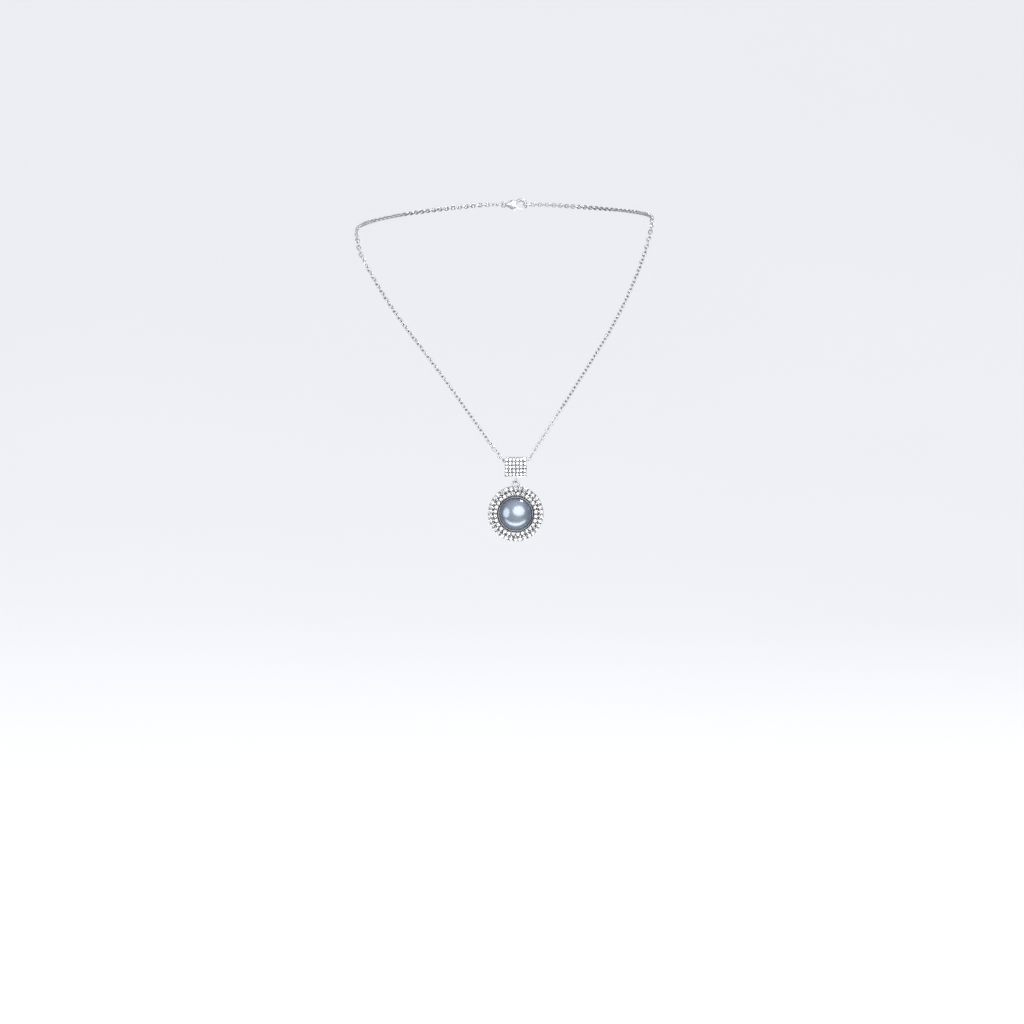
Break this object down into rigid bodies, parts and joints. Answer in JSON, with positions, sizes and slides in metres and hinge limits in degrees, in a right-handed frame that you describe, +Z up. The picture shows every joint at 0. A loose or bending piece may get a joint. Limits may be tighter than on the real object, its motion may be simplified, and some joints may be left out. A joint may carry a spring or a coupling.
{
  "type": "pendant necklace",
  "caption": "Fine cable chain necklace with a stone-set slide bail and a round double-halo pendant around a half-round grey pearl, closed by a lobster clasp.",
  "frame": {"origin": "nape of the neck, on the chain line at the middle of the clasp", "axes": "+Z up, -Y towards the wearer's front, +X along the clasp to the viewer's right"},
  "size_m": [0.1069, 0.1009, 0.1183],
  "materials": {
    "rhodium_silver": "polished",
    "rhodium_setting": "polished",
    "clear_stone": "polished",
    "grey_pearl": "gloss",
    "spring_steel": "satin",
    "cement": "matte"
  },
  "bodies": {
    "root": {"chain_back_left": "rhodium_silver", "chain_back_right": "rhodium_silver", "clasp_jump_ring": "rhodium_silver", "chain_end_ring": "rhodium_silver"},
    "front_chain": {"chain_front_left": "rhodium_silver", "chain_front_right": "rhodium_silver", "chain_bail_links": "rhodium_silver"},
    "bail": {"bail_shell": "rhodium_setting", "bail_bar": "rhodium_silver", "bail_stones": "clear_stone"},
    "drop_ring": {"drop_jump_ring": "rhodium_silver"},
    "pendant": {"pendant_top_ring": "rhodium_silver", "halo_setting": "rhodium_setting", "halo_outer_stones": "clear_stone", "halo_inner_stones": "clear_stone", "bezel_cup": "rhodium_setting", "back_plate": "rhodium_setting", "pearl_cement": "cement", "pearl": "grey_pearl"},
    "clasp": {"clasp_body": "rhodium_silver", "clasp_pivot_pin": "rhodium_silver", "clasp_spring": "spring_steel"},
    "lever": {"clasp_lever": "rhodium_silver"}
  },
  "joints": [
    {"name": "front_lift", "type": "hinge", "parent": "root", "child": "front_chain", "pos_m": [-0.0567, -0.06378, -0.00802], "axis": [-0.9994, 0.0098, -0.0318], "range_deg": [0, 45]},
    {"name": "bail_swing", "type": "hinge", "parent": "front_chain", "child": "bail", "pos_m": [0, -0.094, -0.0876], "axis": [1, 0, 0], "range_deg": [-40, 40]},
    {"name": "drop_swing", "type": "hinge", "parent": "bail", "child": "drop_ring", "pos_m": [0, -0.094, -0.09212], "axis": [1, 0, 0], "range_deg": [-14, 55]},
    {"name": "pendant_sway", "type": "hinge", "parent": "drop_ring", "child": "pendant", "pos_m": [0, -0.094, -0.09498], "axis": [0, 1, 0], "range_deg": [-30, 30]},
    {"name": "clasp_roll", "type": "hinge", "parent": "root", "child": "clasp", "pos_m": [0, 0, 0], "axis": [1, 0, 0], "range_deg": [-15, 15]},
    {"name": "clasp_lever", "type": "hinge", "parent": "clasp", "child": "lever", "pos_m": [0.00015, 0, -0.00035], "axis": [0, 1, 0], "range_deg": [0, 28], "stiffness_Nm_per_rad": 0.002, "springref_deg": -17.19}
  ]
}
